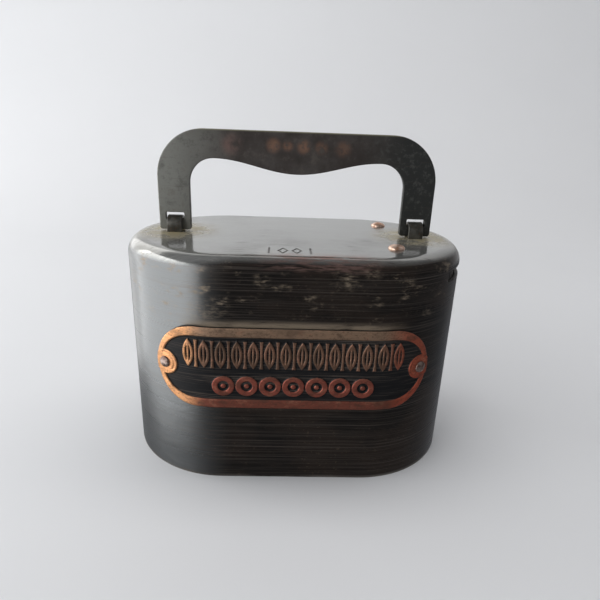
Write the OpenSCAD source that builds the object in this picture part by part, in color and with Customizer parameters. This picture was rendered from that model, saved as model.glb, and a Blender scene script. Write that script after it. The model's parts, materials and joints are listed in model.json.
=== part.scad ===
// Portable home savings box: a drawn steel shell with an oval plan, a folding
// handle, a coin slot with a flap behind it and a locked door in its base.
// Origin: centre of the base, on the surface the box stands on. +Z is up, -Y is the front.

/* [Body] */
// Width of the box from end to end
body_w = 105; // [88:0.5:130]
// Depth of the box from front to back
body_d = 63; // [52:0.5:76]
// Height of the box without its handle
body_h = 70; // [56:0.5:90]
// Thickness of the drawn sheet
wall = 1; // [0.8:0.1:1.4]
// Radius of the shoulder between the walls and the top
shoulder_r = 5; // [3:0.5:8]

/* [Coin slot] */
// Length of the slot across the end wall
slot_len = 42.4; // [35:0.1:44]
// Height of the slot
slot_h = 3.45; // [3:0.05:4]
// Distance from the top of the box down to the middle of the slot
slot_drop = 7; // [6.5:0.1:10]

/* [Handle] */
// Width over both legs
handle_w = 86.2; // [74:0.2:92]
// Thickness of the handle sheet
handle_t = 1.7; // [1.2:0.1:2.4]
// Width of each leg
leg_w = 9.9; // [8.5:0.1:12]
// Height of the grip's upper edge above the pivot line
grip_rise = 29.1; // [26:0.1:40]
// Radius of the outer corners
handle_outer_r = 14.5; // [8:0.5:16]
// Radius of the inner corners
handle_inner_r = 7.5; // [4:0.5:9]
// Height of the opening's highest points above the pivot line
opening_rise = 20.6; // [17:0.1:24]
// How far the grip's lower edge sags at the middle
grip_sag = 4.1; // [0:0.1:6]
// Radius of the small corners at the foot of each leg
foot_r = 0.9; // [0.3:0.1:1.4]
// Width of the eye near the foot of each leg
eye_w = 5.6; // [5.2:0.1:6.4]
// Height of the eye
eye_h = 2.2; // [1.9:0.1:3]
// Height of the bar under the eye, on which the handle turns
bar_h = 3.2; // [2.4:0.1:3.6]

/* [Handle loops] */
// Width of the strap that is bent into each loop
loop_w = 4.6; // [3.6:0.1:5]
// Thickness of the strap
loop_t = 1; // [0.8:0.1:1.2]
// Play between the bar's corners and the loop
loop_play = 0.14; // [0.1:0.02:0.3]
// Play between the bar's corners and the top of the box
top_play = 0.19; // [0.15:0.01:0.5]
// Length of the strap end that is bent over inside the box
clinch_len = 2.6; // [1.5:0.1:4]

/* [Name plate] */
// Length of the plate, measured along the wall
plate_len = 80.4; // [70:0.2:92]
// Height of the plate
plate_h = 25.2; // [20:0.2:30]
// Height of the plate's middle above the base
plate_z = 37.7; // [30:0.1:44]
// Thickness of the plate's ground
plate_t = 0.5; // [0.3:0.1:0.8]
// How far the rim stands above the ground
rim_rise = 0.6; // [0.3:0.1:0.9]
// Width of the rim at the top and bottom
rim_w = 3; // [2:0.1:4]
// Width of the rim at the two ends
rim_end_w = 1.9; // [1.2:0.1:3]
// Radius of the raised boss round each rivet
boss_r = 4.1; // [3.5:0.1:5]
// Distance from the plate's end to the rivet
boss_inset = 2.9; // [2.8:0.1:5]

/* [Rivets] */
// Radius of the plate rivets' heads
plate_head_r = 1.75; // [1.4:0.05:2.2]
// Height of the plate rivets' heads
plate_head_h = 0.8; // [0.5:0.1:1.2]
// Radius of the top rivets' heads
top_head_r = 2.45; // [2:0.05:3]
// Height of the top rivets' heads
top_head_h = 1.3; // [0.8:0.1:1.6]
// Distance of the top rivets behind the flap pin
top_rivet_setback = 6.6; // [6:0.1:9]
// Distance of each top rivet inside the chute's wall
top_rivet_wall_gap = 5.4; // [4.5:0.1:7]
// Radius of the top rivets' shanks
top_shank_r = 1.2; // [0.8:0.1:1.5]
// Radius of the small rivets' shanks
small_shank_r = 0.8; // [0.6:0.05:1]

/* [Punch marks] */
// Number of small marks punched in a row in the top, near the front
mark_count = 4; // [1:1:6]
// Distance from one mark to the next
mark_pitch = 3.9; // [3:0.1:5]
// Height of a mark
mark_h = 6.4; // [3:0.1:8]
// Width of the punched line
mark_line = 0.6; // [0.3:0.05:0.8]
// Depth of the marks
mark_depth = 0.15; // [0.05:0.05:0.3]
// Distance of the row from the front of the box
mark_inset = 9.4; // [8.5:0.1:14]
// Distance of the row's middle to the left of the middle of the box
mark_shift = 2; // [0:0.5:8]

/* [Coin trap] */
// Thickness of the chute and flap sheet
trap_t = 0.8; // [0.6:0.1:1]
// Distance of the flap pin from where the chute's walls meet the round end
flap_setback = 3.86; // [3.5:0.02:6]
// Thickness of the flap's knuckle round its pin
flap_knuckle_t = 0.64; // [0.5:0.02:0.8]
// Radius of the flap pin
flap_pin_r = 0.8; // [0.6:0.05:1]
// Diameter of the spring wire
spring_wire = 0.5; // [0.3:0.05:0.6]
// Number of turns of the spring
spring_turns = 6; // [3:1:8]

/* [Base] */
// Depth of the door's face above the standing edge
door_recess = 1; // [0.8:0.1:2]
// Thickness of the base door
door_t = 1.2; // [1:0.1:1.5]
// Gap all round between the door and the shell
door_gap = 0.3; // [0.2:0.05:0.5]
// Gap between the closed door and the seat above it
seat_gap = 0.2; // [0.15:0.05:0.5]
// Width of the seat ring's flange
seat_w = 4; // [3:0.1:5]
// Thickness of the seat ring
seat_t = 1; // [0.8:0.1:1.2]
// Height of the seat ring's upstand above its flange
seat_rise = 5; // [4:0.5:10]
// Distance from the box's end to the hinge pin
hinge_inset = 16.5; // [15:0.5:20]
// Length of the hinge
hinge_len = 30; // [20:1:36]
// Number of hinge knuckles
knuckle_count = 5; // [3:2:7]
// Radius of the knuckles
knuckle_r = 1.5; // [1.4:0.05:1.6]
// Radius of the hinge pin
hinge_pin_r = 0.8; // [0.6:0.05:0.9]

/* [Lock] */
// Length of the lock case
lock_len = 22; // [21:0.5:26]
// Width of the lock case
lock_w = 22; // [21:0.5:26]
// Height of the lock case with its cover
lock_h = 6.4; // [6:0.2:9]
// Thickness of the lock sheet
lock_t = 0.8; // [0.6:0.1:1]
// Distance from the box's end to the lock case
lock_inset = 9; // [8.5:0.1:12]
// Width of the bolt
bolt_w = 8; // [7:0.1:9]
// Thickness of the bolt
bolt_t = 2; // [1.5:0.1:2.2]
// Travel of the bolt
bolt_throw = 5; // [4:0.1:5.2]
// How far the withdrawn bolt stands out of its case
bolt_nose = 1.5; // [1:0.1:2]
// Radius swept by the key's bit
bit_r = 4; // [3.6:0.1:4.1]
// Radius of the post that the key turns on
key_post_r = 1; // [0.7:0.05:1.1]

/* [Clearances] */
// Gap between a fixed piece and the curved wall it is soldered to
bed_gap = 0.05; // [0.03:0.01:0.1]
// Radial clearance of a turning pin
pin_play = 0.06; // [0.02:0.01:0.1]
// Gap between pieces that move past each other
move_gap = 0.3; // [0.2:0.05:0.4]

/* [Hidden] */

// Facets of large and small round shapes
fn_big = 128;
fn_small = 48;
// A length longer than the box, and the overlap of cutting tools
far = 200;
eps = 0.5;

// Heads of the plain steel rivets
plain_head_r = 1.5;
plain_head_h = 0.6;

// Plan: two half circles of this radius, joined by straight walls of half length run
end_r = body_d / 2;
run = body_w / 2 - end_r;
inner_r = end_r - wall;
top_under = body_h - wall;

// Coin slot and chute
coin_play = 0.4;
slot_z = body_h - slot_drop;
chute_floor = slot_z - slot_h / 2 - bed_gap * 2;
chute_half = slot_len / 2 + coin_play;
// The flap pin's heads outside the chute's walls
pin_head_r = flap_pin_r + 0.5;
pin_head_h = 0.5;
pin_head_gap = 0.02;
// The heads would meet the round end wall this far along X
head_out = chute_half + trap_t + pin_head_h + move_gap;
chute_reach = run + sqrt(pow(inner_r - 2 * move_gap, 2) - pow(head_out, 2));
flap_x = chute_reach - flap_setback;
// The top rivets hold the chute's flanges, clear of its walls and of the flap
flange_margin = 0.6;
top_rivet_x = flap_x - top_rivet_setback;
top_rivet_y = chute_half - top_rivet_wall_gap;
chute_back = top_rivet_x - top_head_r - 1.5;
chute_flange_in = top_rivet_y - top_head_r - flange_margin;
flap_knuckle_r = flap_pin_r + pin_play + flap_knuckle_t;
// The flap's knuckle just clears the bent ends of the handle loop above it
flap_pin_drop = loop_t + move_gap + flap_knuckle_r;
flap_pin_z = top_under - flap_pin_drop;
flap_half = chute_half - 2 * move_gap;
spring_half = 3;
spring_play = 0.2;
spring_r = flap_pin_r + spring_play + spring_wire / 2;
inner_head_r = 2;
inner_head_h = 0.6;

// Handle and loops
leg_x = handle_w / 2 - leg_w / 2;
bar_diagonal = sqrt(pow(bar_h / 2, 2) + pow(handle_t / 2, 2));
loop_r = bar_diagonal + loop_play;
pivot_z = body_h + bar_diagonal + top_play;
loop_slot_play = 0.1;
opening_half = handle_w / 2 - leg_w;
peak_x = opening_half - handle_inner_r;

// Name plate
plate_in = end_r + bed_gap;
plate_ground = plate_in + plate_t;
plate_face = plate_ground + rim_rise;
plate_end_s = plate_len / 2 - plate_h / 2;
// The round ends are drawn this much larger than the band and cut level with its edges
plate_round = 0.15;
boss_s = plate_len / 2 - boss_inset;

// Base and hinge
door_top = door_recess + door_t;
seat_z = door_top + seat_gap;
seat_top = seat_z + seat_t;
rim_out = inner_r - bed_gap;
door_r = inner_r - door_gap;
hinge_x = hinge_inset - body_w / 2;
hinge_z = knuckle_r + 0.25;
knuckle_pitch = hinge_len / knuckle_count;
door_edge = 0.6;
plate_edge = 1.3;
seat_rivet_r = rim_out - seat_t - plain_head_r - 0.1;

// Lock, placed on the door
lock_x1 = body_w / 2 - lock_inset;
lock_x0 = lock_x1 - lock_len;
case_floor = door_top + lock_t;
case_top = door_top + lock_h - lock_t;
bolt_z = seat_top + 0.5;
bolt_tip = lock_x1 + bolt_nose;
bolt_tail = lock_x0 + 3;
post_x = bolt_tail + bolt_throw + 2.5;
post_y = 1.6;
post_r = 1.2;
key_x = post_x + 1;
key_y = -(bolt_w / 2 + bit_r / 2);
talon_w = 5;
talon_depth = bit_r / 2 + 0.3;
keyhole_r = key_post_r + 0.7;
keyhole_slot = 1.6;
lock_rivet_inset = 2.6;
keeper_x = lock_x1 + 3.7;
keeper_len = 2.2;
escutcheon_r = 4.4;
escutcheon_t = 0.5;
escutcheon_half = 2.9;
escutcheon_y = key_y - 1.9;
escutcheon_pin_r = 0.7 * small_shank_r;
escutcheon_pin_y = escutcheon_half + 2.6;

// ---------------------------------------------------------------- shared shapes

// Oval plan: a circle of radius r at each end and the straight stretch between
module oval(r) {
  translate([-run, -r]) square([2 * run, 2 * r]);
  for (side = [-1, 1]) translate([side * run, 0]) circle(r, $fn = fn_big);
}

// Upright ring on the oval plan
module oval_ring(r_out, r_in, h) {
  linear_extrude(h) difference() {
    oval(r_out);
    oval(r_in);
  }
}

// Half section of the drawn shell, outside or inside
module shell_section(r, h, corner) {
  square([r, h - corner]);
  square([r - corner, h]);
  translate([r - corner, h - corner]) circle(corner, $fn = fn_small);
}

// Solid oval body with a rounded shoulder
module oval_body(r, h, corner) {
  for (side = [-1, 1]) translate([side * run, 0, 0])
    rotate([0, 0, -90 * side]) rotate_extrude(angle = 180, $fn = fn_big)
      shell_section(r, h, corner);
  translate([-run, 0, 0]) rotate([90, 0, 90]) linear_extrude(2 * run) {
    shell_section(r, h, corner);
    mirror([1, 0]) shell_section(r, h, corner);
  }
}

// How far a point at distance s along the front wall has turned round the end, in degrees
function wall_turn(s) = max(0, abs(s) - run) / end_r * 180 / PI;

// Puts children, drawn facing -Y, at distance s along the front wall
module on_front(s) {
  translate([sign(s) * min(abs(s), run), 0, 0])
    rotate([0, 0, sign(s) * wall_turn(s)]) children();
}

// Cylinder that points to -Y, from distance a to distance b
module spoke(r, a, b) {
  translate([0, -a, 0]) rotate([90, 0, 0]) cylinder(r = r, h = b - a, $fn = fn_small);
}

// Domed rivet head standing on z = 0
module dome(r, h) {
  ball = (r * r + h * h) / (2 * h);
  intersection() {
    translate([0, 0, h - ball]) sphere(ball, $fn = 2 * fn_small);
    cylinder(r = r, h = h, $fn = fn_small);
  }
}

// Cylinder along Y through x, z
module y_rod(r, x, z, y0, y1) {
  translate([x, y1, z]) rotate([90, 0, 0]) cylinder(r = r, h = y1 - y0, $fn = fn_small);
}

// Places of the rivets that hold the chute under the top
module at_top_rivets() {
  for (side = [-1, 1]) translate([top_rivet_x, side * top_rivet_y, 0]) children();
}

// Places of the rivets that hold the hinge plate to the seat ring
module at_plate_rivets() {
  for (turn = [-42, 0, 42]) translate([-run, 0, 0]) rotate([0, 0, 180 + turn])
    translate([seat_rivet_r, 0, 0]) children();
}

// Places of the rivets that hold the lock to the door
module at_lock_rivets() {
  for (x = [lock_x0 + lock_rivet_inset, lock_x1 - lock_rivet_inset])
    for (side = [-1, 1]) translate([x, side * (lock_w / 2 - lock_rivet_inset), 0]) children();
}

// Places of the two pins that hold the escutcheon
module at_escutcheon_pins() {
  for (end = [-1, 1]) translate([key_x, escutcheon_y + end * escutcheon_pin_y, 0]) children();
}

// Keyhole: a round hole with a slot for the bit, cut through everything
module keyhole(play) {
  translate([key_x, key_y, -eps]) {
    cylinder(r = keyhole_r + play, h = case_top, $fn = fn_small);
    translate([-keyhole_slot / 2 - play, -bit_r - play, 0])
      cube([keyhole_slot + 2 * play, bit_r + play, case_top]);
  }
}

// ---------------------------------------------------------------- shell and plate

// Row of punched marks: upright lines at its ends and narrow lozenges between them
module punch_marks() {
  for (i = [0 : mark_count - 1])
    translate([(i - (mark_count - 1) / 2) * mark_pitch, 0])
      if (i == 0 || i == mark_count - 1) square([mark_line, mark_h], center = true);
      else difference() {
        lozenge(mark_h / 2);
        lozenge(mark_h / 2 - 2.2 * mark_line);
      }
}

// Lozenge of half height h and half as wide
module lozenge(h) {
  polygon([[0, -h], [h / 2, 0], [0, h], [-h / 2, 0]]);
}

// One-piece drawn shell: walls and top
module body_shell() {
  color([0.19, 0.19, 0.19]) difference() {
    oval_body(end_r, body_h, shoulder_r);
    translate([0, 0, -eps]) oval_body(inner_r, top_under + eps, shoulder_r - wall);
    translate([run, -slot_len / 2, slot_z - slot_h / 2]) cube([far, slot_len, slot_h]);
    for (side = [-1, 1], face = [-1, 1])
      translate([side * leg_x, face * (loop_r + loop_t / 2), body_h])
        cube([loop_w + 2 * loop_slot_play, loop_t + 2 * loop_slot_play, 4 * wall], center = true);
    at_top_rivets() cylinder(r = top_shank_r + bed_gap, h = far, $fn = fn_small);
    for (side = [-1, 1]) on_front(side * boss_s) translate([0, 0, plate_z])
      spoke(small_shank_r + bed_gap, inner_r - 2 * wall, end_r + wall);
    translate([-mark_shift, mark_inset - end_r, body_h - mark_depth])
      linear_extrude(wall) punch_marks();
  }
}

// Block on the wall between two radii: a band with round ends, half_h high each way
module plate_block(r_in, r_out, half_h, end_s) {
  reach = 2 * end_r;
  turn = wall_turn(end_s);
  near = min(end_s, run);
  translate([0, 0, plate_z]) intersection() {
    translate([0, 0, -half_h]) oval_ring(r_out, r_in, 2 * half_h);
    union() {
      translate([0, 0, -half_h - eps]) linear_extrude(2 * half_h + 2 * eps)
        polygon([[-near, 0], [near, 0], [near + reach * sin(turn), -reach * cos(turn)],
                 [-near - reach * sin(turn), -reach * cos(turn)]]);
      for (side = [-1, 1]) on_front(side * end_s) rotate([90, 0, 0])
        cylinder(r = half_h + plate_round, h = reach, $fn = fn_big);
    }
  }
}

// Embossed sheet plate: a thin ground, a raised rim and a boss round each rivet
module name_plate() {
  color([0.55, 0.3, 0.17]) difference() {
    plate_block(plate_in, plate_face, plate_h / 2, plate_end_s);
    difference() {
      plate_block(plate_ground, plate_face + eps, plate_h / 2 - rim_w,
                  plate_end_s + rim_w - rim_end_w);
      for (side = [-1, 1]) on_front(side * boss_s) translate([0, 0, plate_z])
        spoke(boss_r, 0, far);
    }
    for (side = [-1, 1]) on_front(side * boss_s) translate([0, 0, plate_z])
      spoke(small_shank_r + bed_gap, inner_r, far);
  }
}

// Two domed steel rivets that hold the name plate to the shell
module name_plate_rivets() {
  color([0.75, 0.74, 0.7]) for (side = [-1, 1])
    on_front(side * boss_s) translate([0, 0, plate_z]) {
      spoke(small_shank_r, inner_r - bed_gap, plate_face);
      translate([0, -plate_face, 0]) rotate([90, 0, 0]) dome(plate_head_r, plate_head_h);
      spoke(plain_head_r, inner_r - bed_gap - plain_head_h, inner_r - bed_gap);
    }
}

// ---------------------------------------------------------------- handle

// Lower edge of the grip, a smooth wave that is lowest at the middle
function grip_edge(x) = opening_rise - grip_sag * (1 + cos(180 * x / peak_x)) / 2;

// Opening of the handle, from below its feet up to the grip
module handle_opening() {
  low = -bar_h;
  steps = 20;
  arc = 90 / 12;
  corner_z = opening_rise - handle_inner_r;
  polygon(concat(
    [[-opening_half, low]],
    [for (a = [180 : -arc : 90 + arc])
      [-peak_x + handle_inner_r * cos(a), corner_z + handle_inner_r * sin(a)]],
    [for (i = [-steps : steps]) [peak_x * i / steps, grip_edge(peak_x * i / steps)]],
    [for (a = [90 - arc : -arc : 0])
      [peak_x + handle_inner_r * cos(a), corner_z + handle_inner_r * sin(a)]],
    [[opening_half, low]]));
}

// Flat outline of the handle, with the pivot line at height 0
module handle_outline() {
  half = handle_w / 2;
  low = -bar_h / 2;
  difference() {
    union() {
      translate([-half, low + foot_r])
        square([handle_w, grip_rise - handle_outer_r - low - foot_r]);
      translate([-half + handle_outer_r, 0])
        square([handle_w - 2 * handle_outer_r, grip_rise]);
      for (side = [-1, 1]) {
        translate([side * (half - handle_outer_r), grip_rise - handle_outer_r])
          circle(handle_outer_r, $fn = fn_big);
        translate([side * leg_x - leg_w / 2 + foot_r, low]) square([leg_w - 2 * foot_r, bar_h]);
        for (edge = [-1, 1])
          translate([side * leg_x + edge * (leg_w / 2 - foot_r), low + foot_r])
            circle(foot_r, $fn = fn_small);
      }
    }
    handle_opening();
    for (side = [-1, 1]) translate([side * leg_x - eye_w / 2, bar_h / 2])
      square([eye_w, eye_h]);
  }
}

// Flat handle cut from sheet, standing up on its two loops
module handle() {
  color([0.24, 0.23, 0.2]) translate([0, 0, pivot_z]) rotate([90, 0, 0])
    linear_extrude(handle_t, center = true) handle_outline();
}

// Strap bent into an arch round the handle's bar; its ends pass the top and are bent over
module handle_loop(side) {
  drop = pivot_z - top_under;
  color([0.22, 0.22, 0.2]) translate([side * leg_x, 0, pivot_z]) {
    rotate([90, 0, 90]) rotate_extrude(angle = 180, $fn = fn_small)
      translate([loop_r, -loop_w / 2]) square([loop_t, loop_w]);
    for (face = [-1, 1]) {
      translate([-loop_w / 2, face * (loop_r + loop_t / 2) - loop_t / 2, -drop - loop_t])
        cube([loop_w, loop_t, drop + loop_t]);
      translate([-loop_w / 2, face * (loop_r + clinch_len / 2 + loop_t / 2)
        - (clinch_len + loop_t) / 2, -drop - loop_t]) cube([loop_w, clinch_len + loop_t, loop_t]);
    }
  }
}

module handle_loop_left() { handle_loop(-1); }
module handle_loop_right() { handle_loop(1); }

// ---------------------------------------------------------------- coin trap

// Folded sheet under the top: a floor level with the slot, two walls and two flanges
module coin_chute() {
  out_half = chute_half + trap_t;
  flange_w = out_half - chute_flange_in;
  color([0.45, 0.43, 0.4]) difference() {
    union() {
      intersection() {
        oval_body(inner_r - move_gap, top_under - move_gap, shoulder_r - wall - move_gap);
        translate([0, 0, chute_floor - trap_t]) {
          translate([flap_x + trap_t / 2 + move_gap, -out_half, 0])
            cube([far, 2 * out_half, trap_t]);
          for (side = [-1, 1])
            translate([chute_back, side * (out_half - trap_t / 2) - trap_t / 2, 0])
              cube([far, trap_t, far]);
        }
      }
      intersection() {
        oval_body(inner_r - move_gap, top_under, shoulder_r - wall);
        for (side = [-1, 1])
          translate([chute_back, side * (out_half - flange_w / 2) - flange_w / 2,
            top_under - trap_t]) cube([2 * (top_rivet_x - chute_back), flange_w, trap_t + eps]);
      }
    }
    y_rod(flap_pin_r + pin_play, flap_x, flap_pin_z, -far, far);
    at_top_rivets() cylinder(r = top_shank_r + bed_gap, h = far, $fn = fn_small);
  }
}

// Two domed copper rivets that hold the chute under the top
module chute_rivets() {
  color([0.8, 0.5, 0.36]) at_top_rivets() {
    translate([0, 0, body_h]) dome(top_head_r, top_head_h);
    translate([0, 0, top_under - trap_t]) cylinder(r = top_shank_r, h = wall + trap_t, $fn = fn_small);
    translate([0, 0, top_under - trap_t - inner_head_h])
      cylinder(r = inner_head_r, h = inner_head_h, $fn = fn_small);
  }
}

// Hanging flap that lets a coin in and not out
module coin_flap() {
  blade_low = chute_floor - trap_t / 2;
  color([0.5, 0.48, 0.44]) difference() {
    union() {
      y_rod(flap_knuckle_r, flap_x, flap_pin_z, -flap_half, flap_half);
      translate([flap_x - trap_t / 2, -flap_half, blade_low])
        cube([trap_t, 2 * flap_half, flap_pin_z - blade_low]);
    }
    y_rod(flap_pin_r + pin_play, flap_x, flap_pin_z, -far, far);
    translate([flap_x - 3 * flap_knuckle_r, -spring_half, flap_pin_z - flap_knuckle_r - 0.4])
      cube([6 * flap_knuckle_r, 2 * spring_half, 3 * flap_knuckle_r]);
  }
}

// Pin that the flap hangs on, headed over outside the chute's walls
module flap_pin() {
  head_end = chute_half + trap_t + pin_head_gap + pin_head_h;
  color([0.6, 0.58, 0.54]) {
    y_rod(flap_pin_r, flap_x, flap_pin_z, -head_end, head_end);
    for (side = [-1, 1]) {
      middle = side * (head_end - pin_head_h / 2);
      y_rod(pin_head_r, flap_x, flap_pin_z, middle - pin_head_h / 2, middle + pin_head_h / 2);
    }
  }
}

// Route of the spring wire round the pin, in X and Z from the pin: a leg under the top,
// the turns, and a leg down the back of the flap
spring_steps = 14;
spring_pitch = spring_wire * 1.2;
spring_start = -spring_turns * spring_pitch / 2;
spring_angle = spring_turns * 360 + 90;
function coil_point(a) = [spring_r * cos(90 - a), spring_start + spring_pitch * a / 360,
                          spring_r * sin(90 - a)];
spring_route = concat(
  [[-4.6, spring_start, flap_pin_drop - spring_wire / 2 - 0.05]],
  [for (i = [0 : spring_steps * spring_angle / 360]) coil_point(-i * 360 / spring_steps)
    + [0, 2 * spring_pitch * i / spring_steps, 0]],
  [[-trap_t / 2 - spring_wire / 2 - 0.1, -spring_start + spring_pitch / 4,
    chute_floor + 1.2 - flap_pin_z]]);

// Round wire swept along a route that never runs along Y
module wire(route, r) {
  sides = 8;
  last = len(route) - 1;
  function unit(v) = v / norm(v);
  function along(i) = unit(route[min(i + 1, last)] - route[max(i - 1, 0)]);
  function ring(i) = let (t = along(i), u = unit(cross(t, [0, 1, 0])), v = cross(t, u))
    [for (k = [0 : sides - 1]) route[i] + r * (cos(360 * k / sides) * u + sin(360 * k / sides) * v)];
  polyhedron(
    points = [for (i = [0 : last]) each ring(i)],
    faces = concat(
      [[for (k = [0 : sides - 1]) k]],
      [for (i = [0 : last - 1], k = [0 : sides - 1])
        [i * sides + k, (i + 1) * sides + k, (i + 1) * sides + (k + 1) % sides,
         i * sides + (k + 1) % sides]],
      [[for (k = [sides - 1 : -1 : 0]) last * sides + k]]));
}

// Wire spring that holds the flap shut
module flap_spring() {
  color([0.66, 0.63, 0.55]) translate([flap_x, 0, flap_pin_z]) wire(spring_route, spring_wire / 2);
}

// ---------------------------------------------------------------- base

// Seat ring soldered inside the shell's foot, which the door closes against
module base_rim() {
  color([0.3, 0.29, 0.27]) translate([0, 0, seat_z]) difference() {
    union() {
      oval_ring(rim_out, rim_out - seat_w, seat_t);
      oval_ring(rim_out, rim_out - seat_t, seat_t + seat_rise);
    }
    at_plate_rivets() translate([0, 0, -eps])
      cylinder(r = small_shank_r + bed_gap, h = 4 * seat_t, $fn = fn_small);
  }
}

// Hinge knuckles: every second one, starting from the first or the second
module knuckles(first) {
  for (i = [first : 2 : knuckle_count - 1])
    y_rod(knuckle_r, hinge_x, hinge_z, i * knuckle_pitch - hinge_len / 2 + move_gap / 2,
          (i + 1) * knuckle_pitch - hinge_len / 2 - move_gap / 2);
}

// Strips that join a leaf's plate to its own knuckles and clear the other leaf's
module knuckle_strips(first, towards) {
  reach = knuckle_r + move_gap;
  for (i = [first : 2 : knuckle_count - 1])
    translate([hinge_x + (towards > 0 ? 0 : -reach), i * knuckle_pitch - hinge_len / 2
      + move_gap / 2]) square([reach, knuckle_pitch - move_gap]);
}

// Flat leaf on one side of the hinge: towards is -1 for the fixed plate, 1 for the door.
// The door's corners by the hinge are trimmed, so that they clear the wall as they swing.
module leaf(first, towards, edge) {
  reach = knuckle_r + move_gap;
  intersection() {
    oval(door_r);
    translate([towards > 0 ? 2 * reach : 0, 0]) oval(door_r);
    union() {
      difference() {
        translate([hinge_x + (towards > 0 ? edge : -edge - far), -far / 2]) square([far, far]);
        translate([hinge_x - reach, -hinge_len / 2 - move_gap])
          square([2 * reach, hinge_len + 2 * move_gap]);
      }
      knuckle_strips(first, towards);
    }
  }
}

// Fixed plate that closes the left end of the base and carries the hinge
module hinge_plate() {
  color([0.27, 0.26, 0.25]) difference() {
    union() {
      translate([0, 0, door_recess]) linear_extrude(seat_z - door_recess) leaf(0, -1, plate_edge);
      knuckles(0);
    }
    y_rod(hinge_pin_r + pin_play, hinge_x, hinge_z, -far, far);
    at_plate_rivets() cylinder(r = small_shank_r + bed_gap, h = seat_top, $fn = fn_small);
  }
}

// Three rivets that hold the hinge plate to the seat ring
module hinge_plate_rivets() {
  color([0.5, 0.48, 0.45]) at_plate_rivets() {
    translate([0, 0, door_recess]) cylinder(r = small_shank_r, h = seat_top - door_recess, $fn = fn_small);
    translate([0, 0, seat_top]) dome(plain_head_r, plain_head_h);
    translate([0, 0, door_recess]) mirror([0, 0, 1]) dome(plain_head_r, plain_head_h);
  }
}

// Plain steel pin through the hinge knuckles
module hinge_pin() {
  color([0.6, 0.58, 0.54])
    y_rod(hinge_pin_r, hinge_x, hinge_z, -hinge_len / 2, hinge_len / 2);
}

// Door that closes the base; it swings down about the hinge pin
module base_door() {
  color([0.25, 0.25, 0.24]) difference() {
    union() {
      translate([0, 0, door_recess]) linear_extrude(door_t) leaf(1, 1, door_edge);
      knuckles(1);
    }
    y_rod(hinge_pin_r + pin_play, hinge_x, hinge_z, -far, far);
    keyhole(0);
    at_lock_rivets() cylinder(r = small_shank_r + bed_gap, h = case_top, $fn = fn_small);
    at_escutcheon_pins() cylinder(r = escutcheon_pin_r + bed_gap, h = case_top, $fn = fn_small);
  }
}

// Strap on the seat ring that the thrown bolt runs under
module bolt_keeper() {
  half = bolt_w / 2 + 0.6;
  rise = bolt_z + bolt_t + 0.4 - seat_top;
  color([0.4, 0.38, 0.35]) translate([keeper_x, 0, seat_top]) {
    for (side = [-1, 1]) translate([0, side * (half + 0.5) - 0.5, 0]) cube([keeper_len, 1, rise + 1]);
    translate([0, -half - 1, rise]) cube([keeper_len, 2 * half + 2, 1]);
  }
}

// ---------------------------------------------------------------- lock

// Shallow tray riveted to the door, with a way out for the bolt
module lock_case() {
  depth = case_top - door_top;
  color([0.42, 0.4, 0.36]) difference() {
    translate([lock_x0, -lock_w / 2, door_top]) cube([lock_len, lock_w, depth]);
    translate([lock_x0 + lock_t, -lock_w / 2 + lock_t, case_floor])
      cube([lock_len - 2 * lock_t, lock_w - 2 * lock_t, depth]);
    translate([lock_x1 - 2 * lock_t, -bolt_w / 2 - 0.15, bolt_z - 0.15])
      cube([4 * lock_t, bolt_w + 0.3, bolt_t + 0.3]);
    keyhole(0);
    at_lock_rivets() cylinder(r = small_shank_r + bed_gap, h = far, $fn = fn_small);
  }
}

// Flat cover of the lock; the key post is headed over in its middle hole
module lock_cover() {
  color([0.46, 0.44, 0.4]) difference() {
    translate([lock_x0, -lock_w / 2, case_top]) cube([lock_len, lock_w, lock_t]);
    translate([key_x, key_y, 0]) cylinder(r = key_post_r + bed_gap, h = far, $fn = fn_small);
    at_lock_rivets() cylinder(r = small_shank_r + bed_gap, h = far, $fn = fn_small);
  }
}

// Four rivets through the door, the lock case and its cover
module lock_rivets() {
  low = door_recess;
  high = case_top + lock_t;
  color([0.6, 0.58, 0.54]) at_lock_rivets() {
    translate([0, 0, low]) cylinder(r = small_shank_r, h = high - low, $fn = fn_small);
    translate([0, 0, high]) dome(plain_head_r, plain_head_h);
    translate([0, 0, low]) mirror([0, 0, 1]) dome(plain_head_r, plain_head_h);
  }
}

// Flat bolt with a slot for its guide post and a notch for the key's bit
module lock_bolt() {
  slot_w = 2 * post_r + 0.2;
  color([0.62, 0.58, 0.48]) difference() {
    translate([bolt_tail, -bolt_w / 2, bolt_z]) cube([bolt_tip - bolt_tail, bolt_w, bolt_t]);
    translate([post_x, post_y, bolt_z - eps]) cylinder(r = slot_w / 2, h = far, $fn = fn_small);
    translate([post_x - bolt_throw, post_y, bolt_z - eps])
      cylinder(r = slot_w / 2, h = far, $fn = fn_small);
    translate([post_x - bolt_throw, post_y - slot_w / 2, bolt_z - eps])
      cube([bolt_throw, slot_w, far]);
    translate([key_x - talon_w / 2, -bolt_w / 2 - eps, bolt_z - eps])
      cube([talon_w, talon_depth + eps, far]);
  }
}

// Shouldered post that carries the bolt and guides its slot
module bolt_guide_post() {
  color([0.6, 0.58, 0.54]) translate([post_x, post_y, case_floor]) {
    cylinder(r = post_r, h = case_top - case_floor, $fn = fn_small);
    cylinder(r = post_r + 0.8, h = bolt_z - case_floor - 0.1, $fn = fn_small);
  }
}

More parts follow.
